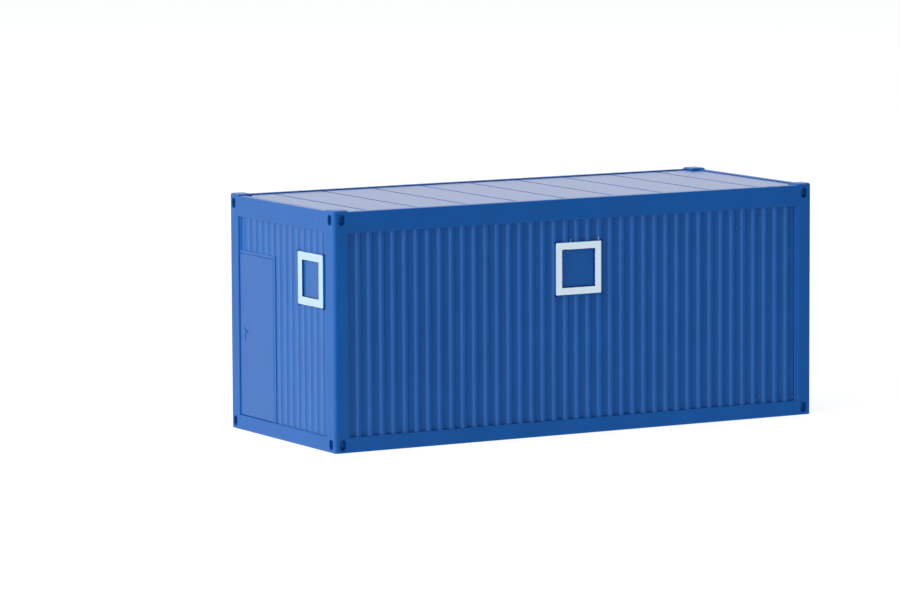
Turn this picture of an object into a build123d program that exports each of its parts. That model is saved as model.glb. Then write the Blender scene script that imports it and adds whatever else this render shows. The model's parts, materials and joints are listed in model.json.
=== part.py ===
from build123d import *
import os

# A 1:87 scale model of a twenty foot site container, in millimetres.
# The origin is the centre of the footprint at the floor, +X runs along the length and +Z is up.
# The door end is at -X and the long side that the photograph shows is at -Y.

# Overall size, the height taken over the corner fittings
LENGTH = 69.6
WIDTH = 28.0
HEIGHT = 30.0

# Frame members as seen on the outer faces
POST_LONG_SIDE = 2.0
POST_END_SIDE = 2.3
TOP_RAIL_HEIGHT = 2.65
BOTTOM_RAIL_HEIGHT = 1.9
LONG_RAIL_DEPTH = 1.6
CORNER_RADIUS = 0.4
EDGE_RADIUS = 0.15

# Corner fittings, bevelled on top and standing above the rails
FITTING_RISE = 0.2
FITTING_BEVEL = 0.15

# Blind oval holes of the corner fittings, inset from the corner and from the outer edge of the rail
HOLE_WIDTH = 0.95
HOLE_HEIGHT = 1.35
HOLE_INSET = 1.1
HOLE_RISE = 1.0
HOLE_DEPTH = 0.5

# Ribbed wall panels, with a raised strip against each post
WALL_THICKNESS = 1.0
LONG_WALL_RECESS = 0.45
END_WALL_RECESS = 0.45
LONG_RIB_PITCH = 1.645
END_RIB_PITCH = 1.62
RIB_BASE = 0.75
RIB_TOP = 0.42
RIB_HEIGHT = 0.27
RIB_EDGE_BEVEL = 0.06
EDGE_STRIP_WIDTH = 0.3

# Groove between the ribs, at the foot of each panel and round each window
GROOVE_WIDTH = 0.2
GROOVE_DEPTH = 0.25

# Windows, square bevelled frames round a flat pane
WINDOW_SIZE = 6.7
WINDOW_BORDER = 0.95
WINDOW_CENTRE_Z = 21.0
END_WINDOW_Y = -7.7
WINDOW_FACE_RECESS = 0.04
FRAME_BEVEL = 0.1
PANE_RECESS = 0.22
PANE_BEVEL = 0.12

# Door, moulded shut between its jamb and the corner post
LEAF_WIDTH = 9.1
JAMB_WIDTH = 0.55
JAMB_FALL = 0.05
DOOR_TOP_Z = 22.6
LINTEL_HEIGHT = 0.35
DOOR_RECESS = 0.16
DOOR_GROOVE = 0.1

# Door handle on its plate
HANDLE_Z = 12.7
HANDLE_FROM_POST = 0.95
HANDLE_LENGTH = 1.1
HANDLE_BAR = 0.22
HANDLE_PROUD = 0.13
HANDLE_PLATE_WIDTH = 0.5
HANDLE_PLATE_HEIGHT = 1.8
HANDLE_PLATE_THICKNESS = 0.05
HANDLE_PLATE_DROP = 0.3

# Roof insert, scribed across into panels a little off the middle
ROOF_RIM = 0.9
ROOF_DROP = 0.12
ROOF_THICKNESS = 1.0
ROOF_SEAM_PITCH = 7.12
ROOF_SEAM_SHIFT = -0.8
ROOF_SEAM_WIDTH = 0.3
ROOF_SEAM_DEPTH = 0.2

# Base plate with cross beams under it
BASE_RECESS = 0.7
BASE_BEAM_PITCH = 7.2
BASE_BEAM_WIDTH = 1.0
BASE_BEAM_DROP = 0.5

half_length = LENGTH / 2
half_width = WIDTH / 2
rail_top = HEIGHT - FITTING_RISE
wall_bottom = BOTTOM_RAIL_HEIGHT
wall_top = rail_top - TOP_RAIL_HEIGHT
wall_height = wall_top - wall_bottom
bay_half_length = half_length - POST_LONG_SIDE
bay_half_width = half_width - POST_END_SIDE
roof_top = rail_top - ROOF_DROP
roof_bottom = roof_top - ROOF_THICKNESS

long_valley = half_width - LONG_WALL_RECESS
long_inside = long_valley - WALL_THICKNESS
end_valley = half_length - END_WALL_RECESS
end_inside = end_valley - WALL_THICKNESS
window_face_long = half_width - WINDOW_FACE_RECESS
window_face_end = half_length - WINDOW_FACE_RECESS
pane_size = WINDOW_SIZE - 2 * WINDOW_BORDER
window_groove_size = WINDOW_SIZE + 2 * GROOVE_WIDTH

door_face = half_length - DOOR_RECESS
leaf_edge = bay_half_width - LEAF_WIDTH
door_edge = leaf_edge - JAMB_WIDTH
lintel_top = DOOR_TOP_Z + LINTEL_HEIGHT
handle_plate_face = door_face + HANDLE_PLATE_THICKNESS
handle_start = bay_half_width - HANDLE_FROM_POST

# As many whole ribs as fit between the edge strips, an odd row on a long wall and an even one on an end
long_rib_room = bay_half_length - EDGE_STRIP_WIDTH - RIB_BASE / 2
long_rib_count = 2 * int(long_rib_room / LONG_RIB_PITCH) + 1
end_rib_room = bay_half_width - EDGE_STRIP_WIDTH - RIB_BASE / 2
end_rib_count = 2 * int(end_rib_room / END_RIB_PITCH + 0.5)
roof_seam_count = 2 * int(bay_half_length / ROOF_SEAM_PITCH) + 1
base_beam_count = 2 * int(bay_half_length / BASE_BEAM_PITCH) + 1

# One rib in plan, rooted at the depth of the grooves and standing out along -Y
rib_outline = [
    (-RIB_BASE / 2, GROOVE_DEPTH),
    (-RIB_BASE / 2, 0),
    (-RIB_TOP / 2, -RIB_HEIGHT),
    (RIB_TOP / 2, -RIB_HEIGHT),
    (RIB_BASE / 2, 0),
    (RIB_BASE / 2, GROOVE_DEPTH),
]


def rib_plan(pitch, count, half_bay):
    """Ribs and edge strips of one panel in plan, along X and facing -Y, their outer edges bevelled."""
    with BuildSketch(mode=Mode.PRIVATE) as plan:
        with GridLocations(pitch, 0, count, 1):
            Polygon(*rib_outline, align=None)
        with Locations((0, (GROOVE_DEPTH - RIB_HEIGHT) / 2)):
            with GridLocations(2 * half_bay, 0, 2, 1):
                Rectangle(2 * EDGE_STRIP_WIDTH, RIB_HEIGHT + GROOVE_DEPTH)
        chamfer(vertices().group_by(Axis.Y)[0], length=RIB_EDGE_BEVEL)
        Rectangle(2 * half_bay, WALL_THICKNESS, mode=Mode.INTERSECT)
    return plan.sketch


long_ribs = Pos(0, -long_valley) * rib_plan(LONG_RIB_PITCH, long_rib_count, bay_half_length)
end_ribs = Pos(-end_valley, 0) * Rot(0, 0, -90) * rib_plan(END_RIB_PITCH, end_rib_count, bay_half_width)

# Long wall with its window opening, at -Y
with BuildPart() as front_wall:
    with BuildSketch(Plane.XY.offset(wall_bottom)):
        with Locations((0, -(long_valley + long_inside) / 2)):
            Rectangle(2 * bay_half_length, WALL_THICKNESS)
    extrude(amount=wall_height)
    with BuildSketch(Plane.XY.offset(wall_bottom)):
        with Locations((0, -long_valley + GROOVE_DEPTH / 2)):
            Rectangle(2 * bay_half_length, GROOVE_DEPTH)
    extrude(amount=GROOVE_WIDTH, mode=Mode.SUBTRACT)
    with BuildSketch(Plane.XZ.offset(long_valley)):
        with Locations((0, WINDOW_CENTRE_Z)):
            Rectangle(window_groove_size, window_groove_size)
    extrude(amount=-GROOVE_DEPTH, mode=Mode.SUBTRACT)
    with BuildSketch(Plane.XY.offset(wall_bottom)):
        add(long_ribs)
    extrude(amount=wall_height)
    with BuildSketch(Plane.XZ.offset(half_width)):
        with Locations((0, WINDOW_CENTRE_Z)):
            Rectangle(WINDOW_SIZE, WINDOW_SIZE)
    extrude(amount=long_inside - half_width, mode=Mode.SUBTRACT)

# Window on the long side, a square frame with its pane let in
with BuildPart() as front_window_frame:
    with BuildSketch(Plane.XZ.offset(long_inside)):
        with Locations((0, WINDOW_CENTRE_Z)):
            Rectangle(WINDOW_SIZE, WINDOW_SIZE)
            Rectangle(pane_size, pane_size, mode=Mode.SUBTRACT)
    extrude(amount=window_face_long - long_inside)
    chamfer(faces().sort_by(Axis.Y)[0].outer_wire().edges(), length=FRAME_BEVEL)

with BuildPart() as front_window_pane:
    with BuildSketch(Plane.XZ.offset(long_inside)):
        with Locations((0, WINDOW_CENTRE_Z)):
            Rectangle(pane_size, pane_size)
    extrude(amount=window_face_long - PANE_RECESS - long_inside)
    chamfer(faces().sort_by(Axis.Y)[0].edges(), length=PANE_BEVEL)

# Ribbed end wall without openings, modelled at -X and mirrored to the plain end
with BuildPart() as whole_end_wall:
    with BuildSketch(Plane.XY.offset(wall_bottom)):
        with Locations((-(end_valley + end_inside) / 2, 0)):
            Rectangle(WALL_THICKNESS, 2 * bay_half_width)
    extrude(amount=wall_height)
    with BuildSketch(Plane.XY.offset(wall_bottom)):
        with Locations((-end_valley + GROOVE_DEPTH / 2, 0)):
            Rectangle(GROOVE_DEPTH, 2 * bay_half_width)
    extrude(amount=GROOVE_WIDTH, mode=Mode.SUBTRACT)
    with BuildSketch(Plane.XY.offset(wall_bottom)):
        add(end_ribs)
    extrude(amount=wall_height)

# Door end, the panel beside the door with the second window opening
with BuildPart() as door_side_wall:
    with BuildSketch(Plane.XY.offset(wall_bottom)):
        with Locations((-(end_valley + end_inside) / 2, (door_edge - bay_half_width) / 2)):
            Rectangle(WALL_THICKNESS, door_edge + bay_half_width)
    extrude(amount=wall_height)
    with BuildSketch(Plane.XY.offset(wall_bottom)):
        with Locations((-end_valley + GROOVE_DEPTH / 2, (door_edge - bay_half_width) / 2)):
            Rectangle(GROOVE_DEPTH, door_edge + bay_half_width)
    extrude(amount=GROOVE_WIDTH, mode=Mode.SUBTRACT)
    with BuildSketch(Plane.YZ.offset(-end_valley)):
        with Locations((END_WINDOW_Y, WINDOW_CENTRE_Z)):
            Rectangle(window_groove_size, window_groove_size)
    extrude(amount=GROOVE_DEPTH, mode=Mode.SUBTRACT)
    with BuildSketch(Plane.XY.offset(wall_bottom)):
        add(end_ribs)
        with Locations((-end_valley, (door_edge - bay_half_width) / 2)):
            Rectangle(WALL_THICKNESS, door_edge + bay_half_width, mode=Mode.INTERSECT)
    extrude(amount=wall_height)
    with BuildSketch(Plane.YZ.offset(-half_length)):
        with Locations((END_WINDOW_Y, WINDOW_CENTRE_Z)):
            Rectangle(WINDOW_SIZE, WINDOW_SIZE)
    extrude(amount=half_length - end_inside, mode=Mode.SUBTRACT)

# Short ribbed panel between the lintel and the top rail
with BuildPart() as door_header_wall:
    with BuildSketch(Plane.XY.offset(lintel_top)):
        with Locations((-(end_valley + end_inside) / 2, (door_edge + bay_half_width) / 2)):
            Rectangle(WALL_THICKNESS, bay_half_width - door_edge)
    extrude(amount=wall_top - lintel_top)
    with BuildSketch(Plane.XY.offset(lintel_top)):
        with Locations((-end_valley + GROOVE_DEPTH / 2, (door_edge + bay_half_width) / 2)):
            Rectangle(GROOVE_DEPTH, bay_half_width - door_edge)
    extrude(amount=GROOVE_WIDTH, mode=Mode.SUBTRACT)
    with BuildSketch(Plane.XY.offset(lintel_top)):
        add(end_ribs)
        with Locations((-end_valley, (door_edge + bay_half_width) / 2)):
            Rectangle(WALL_THICKNESS, bay_half_width - door_edge, mode=Mode.INTERSECT)
    extrude(amount=wall_top - lintel_top)

with BuildPart() as end_window_frame:
    with BuildSketch(Plane.YZ.offset(-end_inside)):
        with Locations((END_WINDOW_Y, WINDOW_CENTRE_Z)):
            Rectangle(WINDOW_SIZE, WINDOW_SIZE)
            Rectangle(pane_size, pane_size, mode=Mode.SUBTRACT)
    extrude(amount=end_inside - window_face_end)
    chamfer(faces().sort_by(Axis.X)[0].outer_wire().edges(), length=FRAME_BEVEL)

with BuildPart() as end_window_pane:
    with BuildSketch(Plane.YZ.offset(-end_inside)):
        with Locations((END_WINDOW_Y, WINDOW_CENTRE_Z)):
            Rectangle(pane_size, pane_size)
    extrude(amount=end_inside - window_face_end + PANE_RECESS)
    chamfer(faces().sort_by(Axis.X)[0].edges(), length=PANE_BEVEL)

# Door leaf, its front edges cut back so that a groove shows all round
with BuildPart() as door_leaf:
    with BuildSketch(Plane.YZ.offset(-end_inside)):
        with Locations(((leaf_edge + bay_half_width) / 2, (wall_bottom + DOOR_TOP_Z) / 2)):
            Rectangle(LEAF_WIDTH, DOOR_TOP_Z - wall_bottom)
    extrude(amount=end_inside - door_face)
    chamfer(faces().sort_by(Axis.X)[0].edges(), length=DOOR_GROOVE)

# Jamb and lintel in one piece, the face of the jamb falling away from the leaf
with BuildPart() as door_frame:
    with BuildSketch(Plane.XY.offset(wall_bottom)):
        Polygon(
            (-end_inside, door_edge),
            (-end_inside, leaf_edge),
            (-door_face, leaf_edge),
            (-door_face + JAMB_FALL, door_edge),
            align=None,
        )
    extrude(amount=lintel_top - wall_bottom)
    with BuildSketch(Plane.YZ.offset(-end_inside)):
        with Locations(((leaf_edge + bay_half_width) / 2, (DOOR_TOP_Z + lintel_top) / 2)):
            Rectangle(LEAF_WIDTH, LINTEL_HEIGHT)
    extrude(amount=end_inside - door_face)

with BuildPart() as handle_plate:
    with BuildSketch(Plane.YZ.offset(-door_face)):
        with Locations((handle_start - HANDLE_PLATE_WIDTH / 2, HANDLE_Z - HANDLE_PLATE_DROP)):
            SlotOverall(HANDLE_PLATE_HEIGHT, HANDLE_PLATE_WIDTH, rotation=90)
    extrude(amount=-HANDLE_PLATE_THICKNESS)

with BuildPart() as door_handle:
    with BuildSketch(Plane.YZ.offset(-handle_plate_face)):
        with Locations((handle_start - HANDLE_LENGTH / 2, HANDLE_Z)):
            SlotOverall(HANDLE_LENGTH, HANDLE_BAR)
    extrude(amount=HANDLE_PLATE_THICKNESS - HANDLE_PROUD)

# One corner post, at -X and -Y
with BuildPart() as post:
    with BuildSketch(Plane.XY.offset(wall_bottom)):
        with Locations((-half_length + POST_LONG_SIDE / 2, -half_width + POST_END_SIDE / 2)):
            Rectangle(POST_LONG_SIDE, POST_END_SIDE)
    extrude(amount=wall_height)
    fillet(edges().filter_by(Axis.Z).group_by(Axis.X)[0].sort_by(Axis.Y)[0], radius=CORNER_RADIUS)
    fillet(edges().filter_by(Axis.Z).group_by(Axis.X)[0].sort_by(Axis.Y)[-1], radius=EDGE_RADIUS)
    fillet(edges().filter_by(Axis.Z).group_by(Axis.Y)[0].sort_by(Axis.X)[-1], radius=EDGE_RADIUS)

# One bottom corner fitting with its two oval holes, at -X and -Y
with BuildPart() as bottom_fitting:
    with BuildSketch():
        with Locations((-half_length + POST_LONG_SIDE / 2, -half_width + POST_END_SIDE / 2)):
            Rectangle(POST_LONG_SIDE, POST_END_SIDE)
    extrude(amount=wall_bottom)
    fillet(edges().filter_by(Axis.Z).group_by(Axis.X)[0].sort_by(Axis.Y)[0], radius=CORNER_RADIUS)
    inner_corner = (-half_length + POST_LONG_SIDE, -half_width + POST_END_SIDE, 0)
    fillet(faces().sort_by(Axis.Z)[0].edges().sort_by_distance(inner_corner)[-3:], radius=EDGE_RADIUS)
    with BuildSketch(Plane.XZ.offset(half_width)):
        with Locations((-half_length + HOLE_INSET, HOLE_RISE)):
            SlotOverall(HOLE_HEIGHT, HOLE_WIDTH, rotation=90)
    extrude(amount=-HOLE_DEPTH, mode=Mode.SUBTRACT)
    with BuildSketch(Plane.YZ.offset(-half_length)):
        with Locations((-half_width + HOLE_INSET, HOLE_RISE)):
            SlotOverall(HOLE_HEIGHT, HOLE_WIDTH, rotation=90)
    extrude(amount=HOLE_DEPTH, mode=Mode.SUBTRACT)

# One top corner fitting with its two oval holes, at -X and -Y
with BuildPart() as top_fitting:
    with BuildSketch(Plane.XY.offset(wall_top)):
        with Locations((-half_length + POST_LONG_SIDE / 2, -half_width + POST_END_SIDE / 2)):
            Rectangle(POST_LONG_SIDE, POST_END_SIDE)
    extrude(amount=HEIGHT - wall_top)
    fillet(edges().filter_by(Axis.Z).group_by(Axis.X)[0].sort_by(Axis.Y)[0], radius=CORNER_RADIUS)
    chamfer(faces().sort_by(Axis.Z)[-1].edges(), length=FITTING_BEVEL)
    with BuildSketch(Plane.XZ.offset(half_width)):
        with Locations((-half_length + HOLE_INSET, rail_top - HOLE_RISE)):
            SlotOverall(HOLE_HEIGHT, HOLE_WIDTH, rotation=90)
    extrude(amount=-HOLE_DEPTH, mode=Mode.SUBTRACT)
    with BuildSketch(Plane.YZ.offset(-half_length)):
        with Locations((-half_width + HOLE_INSET, rail_top - HOLE_RISE)):
            SlotOverall(HOLE_HEIGHT, HOLE_WIDTH, rotation=90)
    extrude(amount=HOLE_DEPTH, mode=Mode.SUBTRACT)

# Rails between the fittings, the top ones stepped to carry the roof insert
with BuildPart() as long_bottom_rail:
    with BuildSketch():
        with Locations((0, -half_width + LONG_RAIL_DEPTH / 2)):
            Rectangle(2 * bay_half_length, LONG_RAIL_DEPTH)
    extrude(amount=wall_bottom)
    fillet(edges().filter_by(Axis.X).group_by(Axis.Y)[0], radius=EDGE_RADIUS)

with BuildPart() as end_bottom_rail:
    with BuildSketch():
        with Locations((-half_length + POST_LONG_SIDE / 2, 0)):
            Rectangle(POST_LONG_SIDE, 2 * bay_half_width)
    extrude(amount=wall_bottom)
    fillet(edges().filter_by(Axis.Y).group_by(Axis.X)[0], radius=EDGE_RADIUS)

with BuildPart() as long_top_rail:
    with BuildSketch(Plane.XY.offset(wall_top)):
        with Locations((0, -half_width + LONG_RAIL_DEPTH / 2)):
            Rectangle(2 * bay_half_length, LONG_RAIL_DEPTH)
    extrude(amount=TOP_RAIL_HEIGHT)
    with BuildSketch(Plane.XY.offset(roof_bottom)):
        with Locations((0, -half_width + ROOF_RIM + LONG_RAIL_DEPTH / 2)):
            Rectangle(2 * bay_half_length, LONG_RAIL_DEPTH)
    extrude(amount=TOP_RAIL_HEIGHT, mode=Mode.SUBTRACT)
    fillet(edges().filter_by(Axis.X).group_by(Axis.Y)[0], radius=EDGE_RADIUS)

with BuildPart() as end_top_rail:
    with BuildSketch(Plane.XY.offset(wall_top)):
        with Locations((-half_length + POST_LONG_SIDE / 2, 0)):
            Rectangle(POST_LONG_SIDE, 2 * bay_half_width)
    extrude(amount=TOP_RAIL_HEIGHT)
    with BuildSketch(Plane.XY.offset(roof_bottom)):
        with Locations((-half_length + ROOF_RIM + POST_LONG_SIDE / 2, 0)):
            Rectangle(POST_LONG_SIDE, 2 * bay_half_width)
    extrude(amount=TOP_RAIL_HEIGHT, mode=Mode.SUBTRACT)
    fillet(edges().filter_by(Axis.Y).group_by(Axis.X)[0], radius=EDGE_RADIUS)

# Roof insert, notched round the corner fittings and scribed across into panels
with BuildPart() as roof_panel:
    with BuildSketch(Plane.XY.offset(roof_bottom)):
        Rectangle(LENGTH - 2 * ROOF_RIM, 2 * bay_half_width)
        Rectangle(2 * bay_half_length, WIDTH - 2 * ROOF_RIM)
    extrude(amount=ROOF_THICKNESS)
    with BuildSketch(Plane.XY.offset(roof_top - ROOF_SEAM_DEPTH)):
        with Locations((ROOF_SEAM_SHIFT, 0)):
            with GridLocations(ROOF_SEAM_PITCH, 0, roof_seam_count, 1):
                Rectangle(ROOF_SEAM_WIDTH, WIDTH - 2 * ROOF_RIM)
    extrude(amount=ROOF_SEAM_DEPTH, mode=Mode.SUBTRACT)

# Base plate between the bottom rails with cross beams below
with BuildPart() as base_plate:
    with BuildSketch(Plane.XY.offset(BASE_RECESS)):
        Rectangle(2 * bay_half_length, WIDTH - 2 * LONG_RAIL_DEPTH)
    extrude(amount=wall_bottom - BASE_RECESS)
    with BuildSketch(Plane.XY.offset(BASE_RECESS - BASE_BEAM_DROP)):
        with GridLocations(BASE_BEAM_PITCH, 0, base_beam_count, 1):
            Rectangle(BASE_BEAM_WIDTH, WIDTH - 2 * LONG_RAIL_DEPTH)
    extrude(amount=BASE_BEAM_DROP)


# Mirrored members, named by side (front is -Y, back is +Y) and by end (door is -X, plain is +X)
def at_back(shape):
    """The same member on the other long side."""
    return mirror(shape, about=Plane.XZ)


def at_plain_end(shape):
    """The same member at the other end."""
    return mirror(shape, about=Plane.YZ)


pieces = {
    "front_wall": front_wall.part,
    "front_window_frame": front_window_frame.part,
    "front_window_pane": front_window_pane.part,
    "back_wall": at_back(front_wall.part),
    "back_window_frame": at_back(front_window_frame.part),
    "back_window_pane": at_back(front_window_pane.part),
    "door_side_wall": door_side_wall.part,
    "door_header_wall": door_header_wall.part,
    "end_window_frame": end_window_frame.part,
    "end_window_pane": end_window_pane.part,
    "plain_end_wall": at_plain_end(whole_end_wall.part),
    "door_leaf": door_leaf.part,
    "door_frame": door_frame.part,
    "handle_plate": handle_plate.part,
    "door_handle": door_handle.part,
    "roof_panel": roof_panel.part,
    "base_plate": base_plate.part,
    "front_bottom_rail": long_bottom_rail.part,
    "back_bottom_rail": at_back(long_bottom_rail.part),
    "front_top_rail": long_top_rail.part,
    "back_top_rail": at_back(long_top_rail.part),
    "door_end_bottom_rail": end_bottom_rail.part,
    "plain_end_bottom_rail": at_plain_end(end_bottom_rail.part),
    "door_end_top_rail": end_top_rail.part,
    "plain_end_top_rail": at_plain_end(end_top_rail.part),
}
for kind, member in (
    ("corner_post", post.part),
    ("bottom_fitting", bottom_fitting.part),
    ("top_fitting", top_fitting.part),
):
    pieces[f"{kind}_door_front"] = member
    pieces[f"{kind}_door_back"] = at_back(member)
    pieces[f"{kind}_plain_front"] = at_plain_end(member)
    pieces[f"{kind}_plain_back"] = at_back(at_plain_end(member))

os.makedirs("parts", exist_ok=True)
for name, piece in pieces.items():
    piece.label = name
    export_step(piece, f"parts/{name}.step")
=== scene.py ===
"""The looks of a 1:87 scale model site container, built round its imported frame."""

import json
import logging
import random
from collections.abc import Callable
from dataclasses import dataclass, field
from enum import Enum
from math import radians

import bmesh
import bpy
from mathutils import Matrix, Vector

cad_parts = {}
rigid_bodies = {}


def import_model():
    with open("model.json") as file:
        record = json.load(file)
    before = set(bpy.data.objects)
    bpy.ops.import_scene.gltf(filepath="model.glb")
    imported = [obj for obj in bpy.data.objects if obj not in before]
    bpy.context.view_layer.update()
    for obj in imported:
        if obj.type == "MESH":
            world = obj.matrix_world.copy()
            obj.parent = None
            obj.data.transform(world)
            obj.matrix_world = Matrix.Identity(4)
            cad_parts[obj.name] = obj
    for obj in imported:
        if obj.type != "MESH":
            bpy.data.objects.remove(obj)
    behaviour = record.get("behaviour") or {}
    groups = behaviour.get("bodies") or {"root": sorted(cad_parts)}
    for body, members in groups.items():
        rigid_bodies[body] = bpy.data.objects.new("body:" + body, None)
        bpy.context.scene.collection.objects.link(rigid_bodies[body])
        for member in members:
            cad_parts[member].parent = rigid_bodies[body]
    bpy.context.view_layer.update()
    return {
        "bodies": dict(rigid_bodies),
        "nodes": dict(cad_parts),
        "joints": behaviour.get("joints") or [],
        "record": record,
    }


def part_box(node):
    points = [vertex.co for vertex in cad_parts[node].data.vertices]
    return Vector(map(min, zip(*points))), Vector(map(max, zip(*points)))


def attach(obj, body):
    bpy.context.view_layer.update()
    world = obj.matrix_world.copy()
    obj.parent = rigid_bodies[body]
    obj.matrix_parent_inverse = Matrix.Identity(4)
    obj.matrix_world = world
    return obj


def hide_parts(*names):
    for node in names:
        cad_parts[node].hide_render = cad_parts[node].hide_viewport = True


LOG = logging.getLogger("site_container")
BODY = "root"

# Sizes are in metres, written as millimetres or microns times these. Names that end in mm hold millimetres.
MM = 0.001
MICRON = 0.001 * MM

IMAGE_WIDTH = 900
SENSOR_MM = 36.0
WHITE = (1.0, 1.0, 1.0, 1.0)

# Most of a noise pattern's values lie between these two.
NOISE_LOW = 0.3
NOISE_HIGH = 0.7

# Points closer than this are one point, and faces flatter than this are one face.
MERGE_DISTANCE = 2 * MICRON
FLAT_ANGLE = radians(1)


def srgb(code: str) -> tuple[float, float, float, float]:
    """Turn an sRGB hex colour into a linear one.

    Args:
        code: Six hex digits, such as "0B59A5".

    Returns:
        Linear red, green, blue and an alpha of one.
    """
    channels = [int(code[i : i + 2], 16) / 255 for i in (0, 2, 4)]
    linear = [c / 12.92 if c <= 0.04045 else ((c + 0.055) / 1.055) ** 2.4 for c in channels]
    return (*linear, 1.0)


def add_node(tree: bpy.types.NodeTree, kind: str, links: dict | None = None, **settings) -> bpy.types.Node:
    """Add one shader node with its settings, input values and links.

    Args:
        tree: The node tree that gets the node.
        kind: The node's Blender type name.
        links: Input name or index to a value, or to an output socket to link.
        **settings: Properties of the node itself.

    Returns:
        The new node.
    """
    node = tree.nodes.new(kind)
    for name, value in settings.items():
        setattr(node, name, value)
    for name, value in (links or {}).items():
        if isinstance(value, bpy.types.NodeSocket):
            tree.links.new(value, node.inputs[name])
        else:
            node.inputs[name].default_value = value
    return node


def add_noise(tree: bpy.types.NodeTree, size_mm: float, detail: float) -> bpy.types.NodeSocket:
    """Add a noise pattern that stands still in the model's own coordinates.

    Args:
        tree: The node tree that gets the pattern.
        size_mm: Size of its blotches on the model.
        detail: How many finer layers it carries.

    Returns:
        The pattern's grey value.
    """
    place = add_node(tree, "ShaderNodeTexCoord").outputs["Object"]
    noise = add_node(
        tree,
        "ShaderNodeTexNoise",
        {"Vector": place, "Scale": 1 / (size_mm * MM), "Detail": detail},
    )
    return noise.outputs["Fac"]


def add_swing(
    tree: bpy.types.NodeTree, noise: bpy.types.NodeSocket, low: float, high: float
) -> bpy.types.NodeSocket:
    """Spread a noise pattern over a range of values.

    Args:
        tree: The node tree that gets the node.
        noise: The pattern's grey value.
        low: What its dark parts become.
        high: What its light parts become.

    Returns:
        The spread value.
    """
    swing = add_node(
        tree,
        "ShaderNodeMapRange",
        {"Value": noise, "From Min": NOISE_LOW, "From Max": NOISE_HIGH, "To Min": low, "To Max": high},
    )
    return swing.outputs["Result"]


def empty_material(name: str) -> bpy.types.Material:
    """Make a material with no nodes in its tree.

    Args:
        name: The material's name.

    Returns:
        The new material.
    """
    material = bpy.data.materials.new(name)
    material.use_nodes = True
    material.node_tree.nodes.clear()
    return material


@dataclass(frozen=True)
class MouldedStyrene:
    """Injection moulded polystyrene, self-coloured blue, satin from a fine-eroded mould.

    The eye gets a saturated body colour, a soft sheen that grows towards grazing angles, a slow
    ripple from the shrinking of the wall and a fine grain that breaks up the highlights.
    """

    name: str
    colour: str = "0B59A5"
    roughness: float = 0.3
    smoother: float = 0.04
    rougher: float = 0.05
    ior: float = 1.46
    sheen_level: float = 0.5
    ripple_mm: float = 4.0
    ripple_depth_mm: float = 0.4
    ripple_bump: float = 0.05
    grain_mm: float = 0.09
    grain_bump: float = 0.02
    shade_swing: float = 0.04

    def build(self) -> bpy.types.Material:
        """Make the material from its ripple, its grain and its colour.

        Returns:
            The new material.
        """
        material = empty_material(self.name)
        tree = material.node_tree
        ripple = add_noise(tree, self.ripple_mm, detail=2.0)
        grain = add_noise(tree, self.grain_mm, detail=3.0)
        value = add_swing(tree, ripple, 1 - self.shade_swing, 1 + self.shade_swing)
        shade = add_node(tree, "ShaderNodeHueSaturation", {"Color": srgb(self.colour), "Value": value})
        broad = add_node(
            tree,
            "ShaderNodeBump",
            {"Height": ripple, "Strength": self.ripple_bump, "Distance": self.ripple_depth_mm * MM},
        )
        fine = add_node(
            tree,
            "ShaderNodeBump",
            {
                "Height": grain,
                "Strength": self.grain_bump,
                "Distance": self.grain_mm * MM,
                "Normal": broad.outputs["Normal"],
            },
        )
        surface = add_node(
            tree,
            "ShaderNodeBsdfPrincipled",
            {
                "Base Color": shade.outputs["Color"],
                "Roughness": add_swing(
                    tree, grain, self.roughness - self.smoother, self.roughness + self.rougher
                ),
                "IOR": self.ior,
                "Specular IOR Level": self.sheen_level,
                "Normal": fine.outputs["Normal"],
            },
        )
        add_node(tree, "ShaderNodeOutputMaterial", {"Surface": surface.outputs["BSDF"]})
        return material


@dataclass(frozen=True)
class PrintInk:
    """Pad-printed white ink, matt, or the thin pale skin that dust and stray ink leave.

    The eye gets a chalky white with a blue-grey cast in blotches, where the film lets the plastic through.
    The default is whiter than real ink, to come near the photograph's level on the shaded long side.
    """

    name: str
    colour: str = "FAFDFF"
    thin_colour: str = "EEF6FF"
    roughness: float = 0.5
    sheen_level: float = 0.2
    blotch_mm: float = 0.7
    film_mm: float = 0.02
    film_bump: float = 0.15

    def build(self) -> bpy.types.Material:
        """Make the material from a blotch pattern that thins the film.

        Returns:
            The new material.
        """
        material = empty_material(self.name)
        tree = material.node_tree
        blotch = add_noise(tree, self.blotch_mm, detail=3.0)
        tint = add_node(
            tree,
            "ShaderNodeMix",
            {"Factor": blotch, "A": srgb(self.colour), "B": srgb(self.thin_colour)},
            data_type="RGBA",
        )
        bump = add_node(
            tree,
            "ShaderNodeBump",
            {"Height": blotch, "Strength": self.film_bump, "Distance": self.film_mm * MM},
        )
        surface = add_node(
            tree,
            "ShaderNodeBsdfPrincipled",
            {
                "Base Color": tint.outputs["Result"],
                "Roughness": self.roughness,
                "Specular IOR Level": self.sheen_level,
                "Normal": bump.outputs["Normal"],
            },
        )
        add_node(tree, "ShaderNodeOutputMaterial", {"Surface": surface.outputs["BSDF"]})
        return material


@dataclass(frozen=True)
class Softbox:
    """A square lamp that points at the middle of the model. Its place and size are in metres."""

    name: str
    place: tuple[float, float, float]
    size: float
    watts: float
    colour: tuple[float, float, float]
    aim: tuple[float, float, float] = (0.0, 0.0, 0.015)

    def build(self) -> None:
        """Add the lamp to the scene."""
        lamp = bpy.data.lights.new(self.name, "AREA")
        lamp.shape = "SQUARE"
        lamp.size = self.size
        lamp.energy = self.watts
        lamp.color = self.colour
        stand = bpy.data.objects.new(self.name, lamp)
        stand.location = self.place
        ray = Vector(self.aim) - Vector(self.place)
        stand.rotation_euler = ray.to_track_quat("-Z", "Y").to_euler()
        bpy.context.scene.collection.objects.link(stand)


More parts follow.
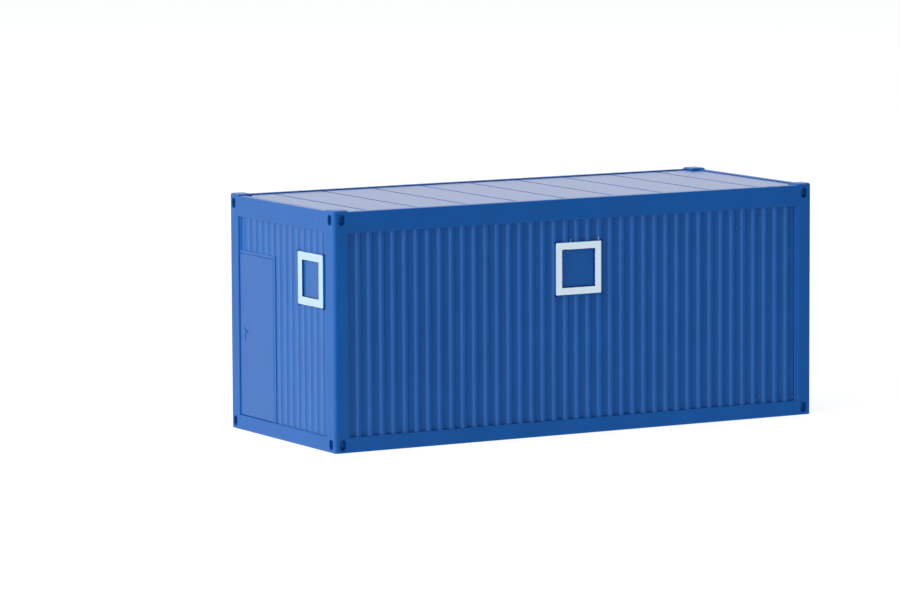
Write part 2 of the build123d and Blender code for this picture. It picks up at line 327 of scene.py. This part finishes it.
@dataclass(frozen=True)
class Studio:
    """White table, white surround with a dark flag, two soft lamps and the photograph's camera.

    The flag is seen only in reflections, where it keeps the long side's plastic deep blue. The lamps, the
    table's glow and the flag are fitted to the photograph's colours.
    """

    eye_mm: tuple[float, float, float] = (-334.238, -576.142, 92.956)
    right: tuple[float, float, float] = (0.87165028, -0.49010583, -0.00469606)
    up: tuple[float, float, float] = (0.06060005, 0.09825917, 0.99331403)
    focal_px: float = 5238.6
    nearest: float = 0.01
    farthest: float = 50.0
    table_size: float = 6.0
    table_white: float = 0.82
    table_grey: float = 0.3
    table_glow: float = 1.1
    soft_level: float = 0.24
    cool: tuple[float, float, float, float] = (0.77, 0.91, 1.0, 1.0)
    flag_level: float = 0.12
    flag_towards: tuple[float, float, float] = (0.49, -0.87, 0.0)
    flag_edge: float = 0.2
    flag_core: float = 0.75
    lamps: tuple[Softbox, ...] = (
        Softbox("left_softbox", place=(-0.95, -0.15, 0.4), size=0.7, watts=9.4, colour=(1.0, 0.98, 0.93)),
        Softbox("top_softbox", place=(0.0, 0.15, 1.1), size=1.2, watts=8.0, colour=(0.97, 0.98, 1.0)),
    )

    def build(self) -> None:
        """Set up the camera, the table, the lamps and the world."""
        self.add_camera()
        self.add_table()
        for lamp in self.lamps:
            lamp.build()
        self.add_world()

    def add_camera(self) -> None:
        """Add the camera where the photograph's lens stood."""
        lens = bpy.data.cameras.new("camera")
        lens.sensor_width = SENSOR_MM
        lens.lens = self.focal_px / IMAGE_WIDTH * SENSOR_MM
        lens.clip_start = self.nearest
        lens.clip_end = self.farthest
        camera = bpy.data.objects.new("camera", lens)
        right, up = Vector(self.right), Vector(self.up)
        turn = Matrix((right, up, right.cross(up))).transposed().to_4x4()
        camera.matrix_world = Matrix.Translation(Vector(self.eye_mm) * MM) @ turn
        bpy.context.scene.collection.objects.link(camera)
        bpy.context.scene.camera = camera

    def add_table(self) -> None:
        """Add the table top: it looks white, keeps the shadow, glows softly and isn't mirrored."""
        bpy.ops.mesh.primitive_plane_add(size=self.table_size, location=(0, 0, 0))
        floor = bpy.context.object
        floor.name = "floor"
        material = empty_material("white_table")
        tree = material.node_tree
        path = add_node(tree, "ShaderNodeLightPath")
        glow = add_node(tree, "ShaderNodeEmission", {"Color": self.cool, "Strength": self.table_glow})
        white = add_node(tree, "ShaderNodeEmission", {"Color": WHITE, "Strength": self.table_white})
        grey = (self.table_grey, self.table_grey, self.table_grey, 1.0)
        shaded = add_node(tree, "ShaderNodeBsdfDiffuse", {"Color": grey})
        seen = add_node(tree, "ShaderNodeAddShader", {0: white.outputs[0], 1: shaded.outputs[0]})
        clear = add_node(tree, "ShaderNodeBsdfTransparent")
        plain = add_node(
            tree,
            "ShaderNodeMixShader",
            {0: path.outputs["Is Camera Ray"], 1: glow.outputs[0], 2: seen.outputs[0]},
        )
        mirrored = add_node(
            tree,
            "ShaderNodeMixShader",
            {0: path.outputs["Is Glossy Ray"], 1: plain.outputs[0], 2: clear.outputs[0]},
        )
        add_node(tree, "ShaderNodeOutputMaterial", {"Surface": mirrored.outputs[0]})
        floor.data.materials.append(material)

    def add_world(self) -> None:
        """Add the surround: white where it shows or is mirrored, but for a dark flag at the front right."""
        world = bpy.data.worlds.new("surround")
        bpy.context.scene.world = world
        world.use_nodes = True
        tree = world.node_tree
        tree.nodes.clear()
        path = add_node(tree, "ShaderNodeLightPath")
        direction = add_node(tree, "ShaderNodeTexCoord").outputs["Generated"]
        facing = add_node(
            tree,
            "ShaderNodeVectorMath",
            {0: direction, 1: self.flag_towards},
            operation="DOT_PRODUCT",
        )
        flag = add_node(
            tree,
            "ShaderNodeMapRange",
            {
                "Value": facing.outputs["Value"],
                "From Min": self.flag_edge,
                "From Max": self.flag_core,
                "To Min": 1.0,
                "To Max": self.flag_level,
            },
            interpolation_type="SMOOTHSTEP",
        )
        soft = add_node(tree, "ShaderNodeBackground", {"Color": self.cool, "Strength": self.soft_level})
        flagged = add_node(
            tree, "ShaderNodeBackground", {"Color": WHITE, "Strength": flag.outputs["Result"]}
        )
        white = add_node(tree, "ShaderNodeBackground", {"Color": WHITE, "Strength": 1.0})
        lit = add_node(
            tree,
            "ShaderNodeMixShader",
            {0: path.outputs["Is Glossy Ray"], 1: soft.outputs[0], 2: flagged.outputs[0]},
        )
        shown = add_node(
            tree,
            "ShaderNodeMath",
            {0: path.outputs["Is Camera Ray"], 1: path.outputs["Is Transmission Ray"]},
            operation="MAXIMUM",
        )
        whole = add_node(
            tree,
            "ShaderNodeMixShader",
            {0: shown.outputs[0], 1: lit.outputs[0], 2: white.outputs[0]},
        )
        add_node(tree, "ShaderNodeOutputWorld", {"Surface": whole.outputs[0]})


class Facing(Enum):
    """Which way a wall looks: its outward direction and the turn that lays a flat shape on it."""

    FRONT = ((0.0, -1.0, 0.0), (90.0, 0.0, 0.0))
    BACK = ((0.0, 1.0, 0.0), (90.0, 0.0, 180.0))
    DOOR_END = ((-1.0, 0.0, 0.0), (90.0, 0.0, -90.0))
    PLAIN_END = ((1.0, 0.0, 0.0), (90.0, 0.0, 90.0))

    def outward(self) -> Vector:
        """Give the direction out of the wall.

        Returns:
            A unit vector.
        """
        return Vector(self.value[0])

    def turn(self) -> Matrix:
        """Give the turn that puts local X along the wall, local Y up and local Z outward.

        Returns:
            A rotation.
        """
        about = [Matrix.Rotation(radians(angle), 3, axis) for angle, axis in zip(self.value[1], "XYZ")]
        return about[2] @ about[1] @ about[0]


class Part(Enum):
    """What a selection picks in an open mesh."""

    POINT = "VERT"
    EDGE = "EDGE"
    FACE = "FACE"


def pick(piece: bpy.types.Object, part: Part, wanted: Callable[..., bool]) -> None:
    """Select the points, edges or faces that pass a test.

    Args:
        piece: The object in edit mode.
        part: What is selected.
        wanted: Test that takes a point's place, an edge's two ends or a face's centre.
    """
    bpy.ops.mesh.select_mode(type=part.value)
    bpy.ops.mesh.select_all(action="DESELECT")
    shape = bmesh.from_edit_mesh(piece.data)
    if part is Part.POINT:
        found = [(point, (point.co,)) for point in shape.verts]
    elif part is Part.EDGE:
        found = [(edge, (edge.verts[0].co, edge.verts[1].co)) for edge in shape.edges]
    else:
        found = [(face, (face.calc_center_median(),)) for face in shape.faces]
    for item, places in found:
        item.select_set(wanted(*places))
    bmesh.update_edit_mesh(piece.data)


def face_outward() -> None:
    """Turn every face of the open mesh outward."""
    bpy.ops.mesh.select_all(action="SELECT")
    bpy.ops.mesh.normals_make_consistent(inside=False)


def merge_mesh() -> None:
    """Merge the open mesh's doubled points, dissolve its flat seams and turn its faces outward."""
    bpy.ops.mesh.select_all(action="SELECT")
    bpy.ops.mesh.remove_doubles(threshold=MERGE_DISTANCE)
    bpy.ops.mesh.dissolve_limited(angle_limit=FLAT_ANGLE)
    face_outward()


def start_plane(size: float, centre: Vector, facing: Facing) -> bpy.types.Object:
    """Add a square that faces out of a wall, alone in the selection, and open it in edit mode.

    Args:
        size: Side of the square.
        centre: Its middle.
        facing: The wall that it lies on.

    Returns:
        The new object.
    """
    bpy.ops.object.select_all(action="DESELECT")
    bpy.ops.mesh.primitive_plane_add(size=size, location=centre, rotation=facing.turn().to_euler())
    bpy.ops.object.mode_set(mode="EDIT")
    return bpy.context.object


def start_copy(node: bpy.types.Object) -> bpy.types.Object:
    """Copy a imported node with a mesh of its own, merge that and leave it open in edit mode.

    Args:
        node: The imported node.

    Returns:
        The copy.
    """
    bpy.ops.object.select_all(action="DESELECT")
    piece = node.copy()
    piece.data = node.data.copy()
    bpy.context.scene.collection.objects.link(piece)
    piece.select_set(True)
    bpy.context.view_layer.objects.active = piece
    bpy.ops.object.mode_set(mode="EDIT")
    merge_mesh()
    return piece


def settle_piece(piece: bpy.types.Object, name: str) -> None:
    """Put a modelled piece's place into its mesh, name it and let it ride with the model.

    Args:
        piece: The modelled object, out of edit mode.
        name: The name that it keeps.
    """
    bpy.ops.object.select_all(action="DESELECT")
    piece.select_set(True)
    bpy.context.view_layer.objects.active = piece
    bpy.ops.object.transform_apply(location=True, rotation=True, scale=True)
    piece.name = name
    piece.data.name = name
    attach(piece, BODY)
    LOG.info("modelled %s, %d faces", name, len(piece.data.polygons))


def dress_piece(piece: bpy.types.Object, material: bpy.types.Material) -> None:
    """Give a modelled piece its finish.

    Args:
        piece: The settled piece.
        material: Its finish.
    """
    piece.data.materials.clear()
    piece.data.materials.append(material)
    LOG.info("dressed %s", piece.name)


@dataclass
class PrintedWindow:
    """A moulded window surround with rounded arrises and a white film printed on its front."""

    node: str
    facing: Facing
    seed: int
    side_border: float = 0.88 * MM
    level_border: float = 0.88 * MM
    border: float = 0.95 * MM
    arris: float = 0.1 * MM
    corner: float = 0.12 * MM
    round_steps: int = 3
    smooth_angle: float = radians(40)
    print_width: float = 6.56 * MM
    film: float = 0.018 * MM
    film_gap: float = 0.0036 * MM
    cells: int = 60
    ragged: float = 0.11 * MM
    ragged_outside: float = 0.3
    ragged_grain: tuple[float, float] = (0.25, 0.35)
    slack: float = 0.01 * MM
    front: Vector = field(init=False)
    depth: float = field(init=False)
    size: float = field(init=False)
    surround: bpy.types.Object = field(init=False)
    film_ring: bpy.types.Object = field(init=False)

    def build(self) -> None:
        """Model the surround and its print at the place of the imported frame."""
        low, high = (Vector(corner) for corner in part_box(self.node))
        outward = self.facing.outward()
        self.depth = abs((high - low).dot(outward))
        self.size = high.z - low.z
        self.front = (low + high) / 2 + outward * self.depth / 2
        self.surround = self.model_surround()
        settle_piece(self.surround, f"{self.node}_moulding")
        self.film_ring = self.model_print()
        settle_piece(self.film_ring, f"{self.node}_print")

    def dress(self, plastic: bpy.types.Material, ink: bpy.types.Material) -> None:
        """Give the surround and its print their finishes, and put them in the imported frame's place.

        Args:
            plastic: Finish of the moulding.
            ink: Finish of the print.
        """
        dress_piece(self.surround, plastic)
        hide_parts(self.node)
        dress_piece(self.film_ring, ink)

    def model_surround(self) -> bpy.types.Object:
        """Model the square surround from one inset and extruded face.

        Returns:
            The surround.
        """
        outward = self.facing.outward()
        piece = start_plane(self.size, self.front - outward * self.depth, self.facing)
        bpy.ops.mesh.inset(thickness=self.border)
        bpy.ops.mesh.delete(type="FACE")
        bpy.ops.mesh.select_all(action="SELECT")
        bpy.ops.mesh.extrude_region_move(TRANSFORM_OT_translate={"value": outward * self.depth})
        face_outward()
        half = self.size / 2 - self.slack
        rim = half - self.corner

        def on_corner(a: Vector, b: Vector) -> bool:
            """Tell whether an edge runs outward at one of the four outer corners."""
            return abs(a.z - b.z) > self.depth / 2 and abs(a.x) > half

        def on_outer_arris(a: Vector, b: Vector) -> bool:
            """Tell whether an edge runs along the outside of the front face."""
            if min(a.z, b.z) < self.depth / 2:
                return False
            return min(abs(a.x), abs(b.x)) > rim or min(abs(a.y), abs(b.y)) > rim

        pick(piece, Part.EDGE, on_corner)
        bpy.ops.mesh.bevel(offset=self.corner, segments=self.round_steps, affect="EDGES")
        pick(piece, Part.EDGE, on_outer_arris)
        bpy.ops.mesh.bevel(offset=self.arris, segments=self.round_steps, affect="EDGES")
        bpy.ops.object.mode_set(mode="OBJECT")
        bpy.ops.object.shade_smooth_by_angle(angle=self.smooth_angle)
        return piece

    def model_print(self) -> bpy.types.Object:
        """Model the white film, its edges made ragged by a seeded pattern before it gets its thickness.

        Returns:
            The film.
        """
        outward = self.facing.outward()
        piece = start_plane(self.print_width, self.front + outward * self.film_gap, self.facing)
        bpy.ops.mesh.subdivide(number_cuts=self.cells)
        inner_x = self.print_width / 2 - self.side_border
        inner_y = self.print_width / 2 - self.level_border
        pick(piece, Part.FACE, lambda centre: abs(centre.x) < inner_x and abs(centre.y) < inner_y)
        bpy.ops.mesh.delete(type="FACE")
        bpy.ops.object.mode_set(mode="OBJECT")
        self.roughen(piece, inner_x, inner_y)
        bpy.ops.object.mode_set(mode="EDIT")
        bpy.ops.mesh.select_all(action="SELECT")
        bpy.ops.mesh.extrude_region_move(TRANSFORM_OT_translate={"value": outward * self.film})
        face_outward()
        bpy.ops.object.mode_set(mode="OBJECT")
        return piece

    def roughen(self, piece: bpy.types.Object, inner_x: float, inner_y: float) -> None:
        """Shift the print's edges by a cloud pattern, more inside than outside.

        Args:
            piece: The flat ring.
            inner_x: Half the width of its opening.
            inner_y: Half the height of its opening.
        """
        cell = self.print_width / (self.cells + 1)
        outer = self.print_width / 2
        edge = piece.vertex_groups.new(name="edge")
        for vertex in piece.data.vertices:
            across, up = abs(vertex.co.x), abs(vertex.co.y)
            if across < inner_x + cell and up < inner_y + cell:
                edge.add([vertex.index], 1.0, "REPLACE")
            elif max(across, up) > outer - cell / 2:
                edge.add([vertex.index], self.ragged_outside, "REPLACE")
        draw = random.Random(self.seed)
        for direction in "XY":
            cloud = bpy.data.textures.new(f"{self.node}_{direction}", "CLOUDS")
            cloud.noise_scale = draw.uniform(*self.ragged_grain) * MM
            shift = piece.modifiers.new(f"ragged_{direction}", "DISPLACE")
            shift.texture = cloud
            shift.direction = direction
            shift.mid_level = 0.5
            shift.strength = self.ragged
            shift.vertex_group = edge.name
            shift.texture_coords = "GLOBAL"
            bpy.ops.object.modifier_apply(modifier=shift.name)


@dataclass
class SoftRibWall:
    """A ribbed wall fitted to the photograph's shading: its rib feet spread and rounded, its grooves filled.

    The ribs of the ends also stand lower, because their valleys lie further out. These depths are chosen
    by trial renders, not measured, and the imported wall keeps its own.
    """

    node: str
    facing: Facing
    valley_lift: float = 0.0
    spread: float = 0.08 * MM
    foot_round: float = 0.1 * MM
    round_steps: int = 2
    smooth_angle: float = radians(24)
    rib_height: float = 0.27 * MM
    groove_depth: float = 0.25 * MM
    slack: float = 0.02 * MM
    shortest: float = 0.6 * MM
    piece: bpy.types.Object = field(init=False)

    def build(self, packed: bpy.types.Object) -> None:
        """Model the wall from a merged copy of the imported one.

        Args:
            packed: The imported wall.
        """
        self.piece = start_copy(packed)
        outward = self.facing.outward()
        crest = max(point.co.dot(outward) for point in bmesh.from_edit_mesh(self.piece.data).verts)
        valley = crest - self.rib_height
        feet = self.find_feet(valley)
        self.spread_feet(valley, feet)
        self.lift_level(valley - self.groove_depth, self.groove_depth + self.valley_lift)
        self.lift_level(valley, self.valley_lift)
        merge_mesh()
        places = [place * MICRON + side * self.spread for place, side in feet.items()]
        self.round_feet(valley + self.valley_lift, places)
        bpy.ops.object.mode_set(mode="OBJECT")
        bpy.ops.object.shade_smooth_by_angle(angle=self.smooth_angle)
        settle_piece(self.piece, f"{self.node}_soft")

    def dress(self, plastic: bpy.types.Material) -> None:
        """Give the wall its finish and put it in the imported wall's place.

        Args:
            plastic: Finish of the moulding.
        """
        dress_piece(self.piece, plastic)
        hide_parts(self.node)

    def along(self, place: Vector) -> float:
        """Measure how far along the wall a place lies.

        Args:
            place: The place.

        Returns:
            The distance from the model's middle.
        """
        return place.dot(self.facing.turn().col[0])

    def at_level(self, place: Vector, level: float) -> bool:
        """Tell whether a place lies at a level.

        Args:
            place: The place.
            level: Distance outward from the model's middle.

        Returns:
            True where it does.
        """
        return abs(place.dot(self.facing.outward()) - level) < self.slack

    def find_feet(self, valley: float) -> dict[int, float]:
        """Find the ribs' feet by the level edges that climb from a valley to a rib.

        Args:
            valley: Level of the valleys.

        Returns:
            Each foot's place along the wall, in microns, with the side that it spreads to.
        """
        feet = {}
        outward = self.facing.outward()
        for edge in bmesh.from_edit_mesh(self.piece.data).edges:
            low, high = sorted((end.co for end in edge.verts), key=lambda place: place.dot(outward))
            lean = self.along(low) - self.along(high)
            is_level = abs(low.z - high.z) < self.slack
            climbs = self.at_level(low, valley) and high.dot(outward) > valley + self.rib_height / 2
            if is_level and climbs and self.slack < abs(lean) < 2 * self.rib_height:
                feet[round(self.along(low) / MICRON)] = 1.0 if lean > 0 else -1.0
        return feet

    def spread_feet(self, valley: float, feet: dict[int, float]) -> None:
        """Move the feet away from their ribs, and what lies in the groove below them too.

        Args:
            valley: Level of the valleys.
            feet: Each foot's place in microns, with its side.
        """
        outward = self.facing.outward()
        sideways = self.facing.turn().col[0]
        reach = valley + self.slack
        for side in (-1.0, 1.0):
            places = {place for place, towards in feet.items() if towards == side}
            pick(
                self.piece,
                Part.POINT,
                lambda point: point.dot(outward) < reach and round(self.along(point) / MICRON) in places,
            )
            bpy.ops.transform.translate(value=sideways * self.spread * side)

    def lift_level(self, level: float, lift: float) -> None:
        """Move everything at one level outward.

        Args:
            level: The level.
            lift: How far it moves.
        """
        if lift:
            pick(self.piece, Part.POINT, lambda point: self.at_level(point, level))
            bpy.ops.transform.translate(value=self.facing.outward() * lift)

    def round_feet(self, valley: float, places: list[float]) -> None:
        """Round the upright edges where the ribs rise from the valleys.

        Args:
            valley: Level of the valleys.
            places: Where the feet stand along the wall.
        """

        def on_foot(a: Vector, b: Vector) -> bool:
            """Tell whether an edge is a rib's foot."""
            if abs(a.z - b.z) < self.shortest or abs(self.along(a) - self.along(b)) > self.slack:
                return False
            if not (self.at_level(a, valley) and self.at_level(b, valley)):
                return False
            return any(abs(self.along(a) - place) < self.slack / 2 for place in places)

        pick(self.piece, Part.EDGE, on_foot)
        bpy.ops.mesh.bevel(offset=self.foot_round, segments=self.round_steps, affect="EDGES")


@dataclass
class Fleck:
    """A stray stroke of ink or a speck of dust, drawn in at its ends.

    A speck is as deep as a rib, far deeper than real dust. A stroke starts in the window surround and
    stands at the ribs' level, so it hangs in front of the valley behind it.
    """

    name: str
    facing: Facing
    place_mm: tuple[float, float, float]
    width: float
    height: float
    thickness: float = 0.015 * MM
    cuts: int = 2
    tip_share: float = 0.4
    slack: float = 0.01 * MM
    piece: bpy.types.Object = field(init=False)

    def build(self) -> None:
        """Model the fleck from a stretched square whose ends are drawn in."""
        self.piece = start_plane(self.width, Vector(self.place_mm) * MM, self.facing)
        bpy.ops.mesh.subdivide(number_cuts=self.cuts)
        bpy.ops.transform.resize(value=(1, 1, self.height / self.width))
        tip = self.height / 2 - self.slack
        pick(self.piece, Part.POINT, lambda point: abs(point.y) > tip)
        bpy.ops.transform.resize(value=(self.tip_share, self.tip_share, 1))
        bpy.ops.mesh.select_mode(type="FACE")
        bpy.ops.mesh.select_all(action="SELECT")
        thicken = self.facing.outward() * self.thickness
        bpy.ops.mesh.extrude_region_move(TRANSFORM_OT_translate={"value": thicken})
        face_outward()
        bpy.ops.object.mode_set(mode="OBJECT")
        settle_piece(self.piece, self.name)

    def dress(self, film: bpy.types.Material) -> None:
        """Give the fleck its finish.

        Args:
            film: Its finish.
        """
        dress_piece(self.piece, film)


@dataclass
class SiteContainer:
    """The whole model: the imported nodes, the soft walls, the printed windows, the dust and the stray ink."""

    frame: dict
    end_valley_lift: float = 0.15 * MM
    end_side_border: float = 1.05 * MM
    end_level_border: float = 0.92 * MM
    end_ragged_outside: float = 0.8
    dust_level_mm: float = -13.56
    dust_places_mm: tuple[tuple[float, float], ...] = (
        (27.1, 26.04),
        (23.62, 24.68),
        (11.04, 6.35),
        (9.4, 5.31),
        (27.01, 2.92),
        (32.21, 2.43),
        (24.57, 2.19),
    )
    dust_width: float = 0.12 * MM
    dust_height: float = 0.16 * MM
    dust_thickness: float = 0.27 * MM
    rib_front_mm: float = -13.82
    walls: list[SoftRibWall] = field(init=False)
    windows: list[PrintedWindow] = field(init=False)
    end_window: PrintedWindow = field(init=False)
    dust: list[Fleck] = field(init=False)
    stray_ink: list[Fleck] = field(init=False)

    def build(self) -> None:
        """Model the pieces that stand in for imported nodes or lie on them."""
        self.walls = [
            SoftRibWall("front_wall", Facing.FRONT),
            SoftRibWall("back_wall", Facing.BACK),
            SoftRibWall("door_side_wall", Facing.DOOR_END, self.end_valley_lift),
            SoftRibWall("door_header_wall", Facing.DOOR_END, self.end_valley_lift),
            SoftRibWall("plain_end_wall", Facing.PLAIN_END, self.end_valley_lift),
        ]
        self.windows = [
            PrintedWindow("front_window_frame", Facing.FRONT, seed=3),
            PrintedWindow("back_window_frame", Facing.BACK, seed=5),
        ]
        self.end_window = PrintedWindow(
            "end_window_frame",
            Facing.DOOR_END,
            seed=8,
            side_border=self.end_side_border,
            level_border=self.end_level_border,
            ragged_outside=self.end_ragged_outside,
        )
        self.dust = [
            Fleck(
                f"speck_{number}",
                Facing.FRONT,
                (x, self.dust_level_mm, z),
                self.dust_width,
                self.dust_height,
                self.dust_thickness,
            )
            for number, (x, z) in enumerate(self.dust_places_mm)
        ]
        left_place = (-1.08, self.rib_front_mm, 24.5)
        right_place = (3.01, self.rib_front_mm, 24.52)
        self.stray_ink = [
            Fleck("ink_stray_left", Facing.FRONT, left_place, width=0.12 * MM, height=0.5 * MM),
            Fleck("ink_stray_right", Facing.FRONT, right_place, width=0.14 * MM, height=0.55 * MM),
        ]
        for wall in self.walls:
            wall.build(self.frame["nodes"][wall.node])
        for piece in (*self.windows, self.end_window, *self.dust, *self.stray_ink):
            piece.build()

    def dress(self) -> None:
        """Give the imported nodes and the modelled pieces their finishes."""
        plastic = MouldedStyrene("moulded_styrene_wall").build()
        rail = MouldedStyrene("moulded_styrene_rail", sheen_level=0.3).build()
        roof = MouldedStyrene("moulded_styrene_roof", roughness=0.22).build()
        self.dress_packed(plastic, {"frame": rail, "roof": roof})
        for wall in self.walls:
            wall.dress(plastic)
        # The end window faces the left lamp, so its ink is written darker to clip less, a painted shade that
        # holds back the lamp's light. The photograph doesn't show a thinner print there.
        ink = PrintInk("pad_print_white").build()
        lamp_dimmed_ink = PrintInk("pad_print_dimmed_for_lamp", colour="BED1DC", thin_colour="B0C6D6").build()
        for window in self.windows:
            window.dress(plastic, ink)
        self.end_window.dress(plastic, lamp_dimmed_ink)
        settled = PrintInk("settled_dust", colour="5C8CC8", thin_colour="2F66AE", roughness=0.8).build()
        for speck in self.dust:
            speck.dress(settled)
        trace = PrintInk("pad_print_trace", colour="9DBCE4", thin_colour="5F8FCC").build()
        for stroke in self.stray_ink:
            stroke.dress(trace)

    def dress_packed(self, plastic: bpy.types.Material, others: dict[str, bpy.types.Material]) -> None:
        """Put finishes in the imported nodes' material slots.

        Args:
            plastic: Finish of every slot that the others leave out.
            others: The record's slot names with their finishes.
        """
        slots = {row["node"]: row["material_slot"] for row in self.frame["record"]["subparts"]}
        for name, node in self.frame["nodes"].items():
            for slot in node.material_slots:
                slot.material = others.get(slots[name], plastic)
            LOG.info("dressed %s", name)


def main() -> None:
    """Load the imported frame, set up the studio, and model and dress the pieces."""
    logging.basicConfig(level=logging.INFO, format="%(message)s")
    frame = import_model()
    bpy.context.scene.view_settings.view_transform = "Standard"
    Studio().build()
    container = SiteContainer(frame)
    container.build()
    container.dress()


if __name__ == "__main__":
    main()
